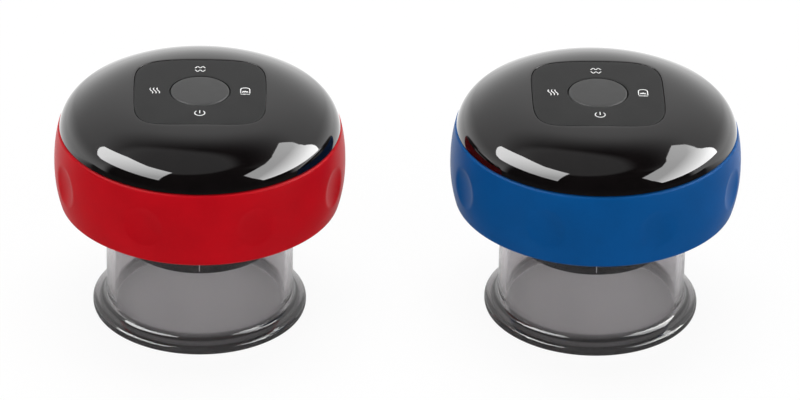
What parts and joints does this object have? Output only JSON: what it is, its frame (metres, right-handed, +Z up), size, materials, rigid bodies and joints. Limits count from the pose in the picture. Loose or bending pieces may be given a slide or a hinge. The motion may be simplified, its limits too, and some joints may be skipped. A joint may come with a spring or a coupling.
{
  "type": "massage cup set",
  "caption": "Pair of mushroom-shaped electric cupping massagers: palm-sized pump heads with dimpled grip rings and soft key pads, locked on clear suction cups.",
  "frame": {"origin": "on the table, midway between the two cups' centres", "axes": "+Z up, +X from the red device to the blue one, -Y towards the front, where the power key is"},
  "size_m": [0.2172, 0.092, 0.0769],
  "materials": {
    "clear_cup": "gloss",
    "silicone": "matte",
    "black_housing": "satin",
    "aluminium_plate": "satin",
    "circuit_board": "satin",
    "foam": "matte",
    "nylon": "satin",
    "cell_wrap": "satin",
    "steel": "satin",
    "black_rubber": "matte",
    "gloss_dome": "gloss",
    "pad_silicone": "matte",
    "button_grey": "satin",
    "red_grip": "matte",
    "blue_grip": "matte"
  },
  "bodies": {
    "cups": {"red_cup": "clear_cup", "blue_cup": "clear_cup"},
    "red_seal": {"red_cup_seal": "silicone"},
    "red_head": {"red_base_plate": "black_housing", "red_heat_plate": "aluminium_plate", "red_lamp_board": "circuit_board", "red_filter_plug": "foam", "red_air_manifold": "nylon", "red_air_hose": "silicone", "red_chassis": "black_housing", "red_battery_cell": "cell_wrap", "red_pump_motor": "steel", "red_pump_head": "nylon", "red_pump_diaphragm": "black_rubber", "red_pump_cap": "black_housing", "red_release_valve": "steel", "red_charge_board": "circuit_board", "red_usb_port": "steel", "red_key_board": "circuit_board", "red_grip_ring": "red_grip", "red_dome_cover": "gloss_dome", "red_key_pad": "pad_silicone"},
    "red_button": {"red_centre_button": "button_grey"},
    "red_rotor": {"red_pump_rotor": "steel"},
    "red_plunger": {"red_valve_plunger": "steel"},
    "red_suction_pin": {"red_key_pin_suction": "nylon"},
    "red_mode_pin": {"red_key_pin_mode": "nylon"},
    "red_heat_pin": {"red_key_pin_heat": "nylon"},
    "red_power_pin": {"red_key_pin_power": "nylon"},
    "blue_seal": {"blue_cup_seal": "silicone"},
    "blue_head": {"blue_base_plate": "black_housing", "blue_heat_plate": "aluminium_plate", "blue_lamp_board": "circuit_board", "blue_filter_plug": "foam", "blue_air_manifold": "nylon", "blue_air_hose": "silicone", "blue_chassis": "black_housing", "blue_battery_cell": "cell_wrap", "blue_pump_motor": "steel", "blue_pump_head": "nylon", "blue_pump_diaphragm": "black_rubber", "blue_pump_cap": "black_housing", "blue_release_valve": "steel", "blue_charge_board": "circuit_board", "blue_usb_port": "steel", "blue_key_board": "circuit_board", "blue_grip_ring": "blue_grip", "blue_dome_cover": "gloss_dome", "blue_key_pad": "pad_silicone"},
    "blue_button": {"blue_centre_button": "button_grey"},
    "blue_rotor": {"blue_pump_rotor": "steel"},
    "blue_plunger": {"blue_valve_plunger": "steel"},
    "blue_suction_pin": {"blue_key_pin_suction": "nylon"},
    "blue_mode_pin": {"blue_key_pin_mode": "nylon"},
    "blue_heat_pin": {"blue_key_pin_heat": "nylon"},
    "blue_power_pin": {"blue_key_pin_power": "nylon"}
  },
  "joints": [
    {"name": "red_head_lift", "type": "slide", "parent": "cups", "child": "red_seal", "axis": [0, 0, 1], "range_m": [0, 0.022]},
    {"name": "red_head_turn", "type": "hinge", "parent": "red_seal", "child": "red_head", "pos_m": [-0.0626, 0, 0.0403], "axis": [0, 0, -1], "range_deg": [0, 54]},
    {"name": "red_button_press", "type": "slide", "parent": "red_head", "child": "red_button", "axis": [0, 0, -1], "range_m": [0, 0.0006], "stiffness_N_per_m": 1500, "springref_m": -0.0006},
    {"name": "red_suction_press", "type": "slide", "parent": "red_head", "child": "red_suction_pin", "axis": [0, 0, -1], "range_m": [0, 0.00025], "stiffness_N_per_m": 1500, "springref_m": -0.0003},
    {"name": "red_mode_press", "type": "slide", "parent": "red_head", "child": "red_mode_pin", "axis": [0, 0, -1], "range_m": [0, 0.00025], "stiffness_N_per_m": 1500, "springref_m": -0.0003},
    {"name": "red_heat_press", "type": "slide", "parent": "red_head", "child": "red_heat_pin", "axis": [0, 0, -1], "range_m": [0, 0.00025], "stiffness_N_per_m": 1500, "springref_m": -0.0003},
    {"name": "red_power_press", "type": "slide", "parent": "red_head", "child": "red_power_pin", "axis": [0, 0, -1], "range_m": [0, 0.00025], "stiffness_N_per_m": 1500, "springref_m": -0.0003},
    {"name": "red_pump_spin", "type": "hinge", "parent": "red_head", "child": "red_rotor", "pos_m": [-0.0656, -0.01702, 0.0547], "axis": [1, 0, 0], "continuous": true},
    {"name": "red_valve_pull", "type": "slide", "parent": "red_head", "child": "red_plunger", "axis": [0, 0, -1], "range_m": [0, 0.0011], "stiffness_N_per_m": 400, "springref_m": -0.001},
    {"name": "blue_head_lift", "type": "slide", "parent": "cups", "child": "blue_seal", "axis": [0, 0, 1], "range_m": [0, 0.022]},
    {"name": "blue_head_turn", "type": "hinge", "parent": "blue_seal", "child": "blue_head", "pos_m": [0.0626, 0, 0.0403], "axis": [0, 0, -1], "range_deg": [0, 54]},
    {"name": "blue_button_press", "type": "slide", "parent": "blue_head", "child": "blue_button", "axis": [0, 0, -1], "range_m": [0, 0.0006], "stiffness_N_per_m": 1500, "springref_m": -0.0006},
    {"name": "blue_suction_press", "type": "slide", "parent": "blue_head", "child": "blue_suction_pin", "axis": [0, 0, -1], "range_m": [0, 0.00025], "stiffness_N_per_m": 1500, "springref_m": -0.0003},
    {"name": "blue_mode_press", "type": "slide", "parent": "blue_head", "child": "blue_mode_pin", "axis": [0, 0, -1], "range_m": [0, 0.00025], "stiffness_N_per_m": 1500, "springref_m": -0.0003},
    {"name": "blue_heat_press", "type": "slide", "parent": "blue_head", "child": "blue_heat_pin", "axis": [0, 0, -1], "range_m": [0, 0.00025], "stiffness_N_per_m": 1500, "springref_m": -0.0003},
    {"name": "blue_power_press", "type": "slide", "parent": "blue_head", "child": "blue_power_pin", "axis": [0, 0, -1], "range_m": [0, 0.00025], "stiffness_N_per_m": 1500, "springref_m": -0.0003},
    {"name": "blue_pump_spin", "type": "hinge", "parent": "blue_head", "child": "blue_rotor", "pos_m": [0.0596, -0.01702, 0.0547], "axis": [1, 0, 0], "continuous": true},
    {"name": "blue_valve_pull", "type": "slide", "parent": "blue_head", "child": "blue_plunger", "axis": [0, 0, -1], "range_m": [0, 0.0011], "stiffness_N_per_m": 400, "springref_m": -0.001}
  ]
}
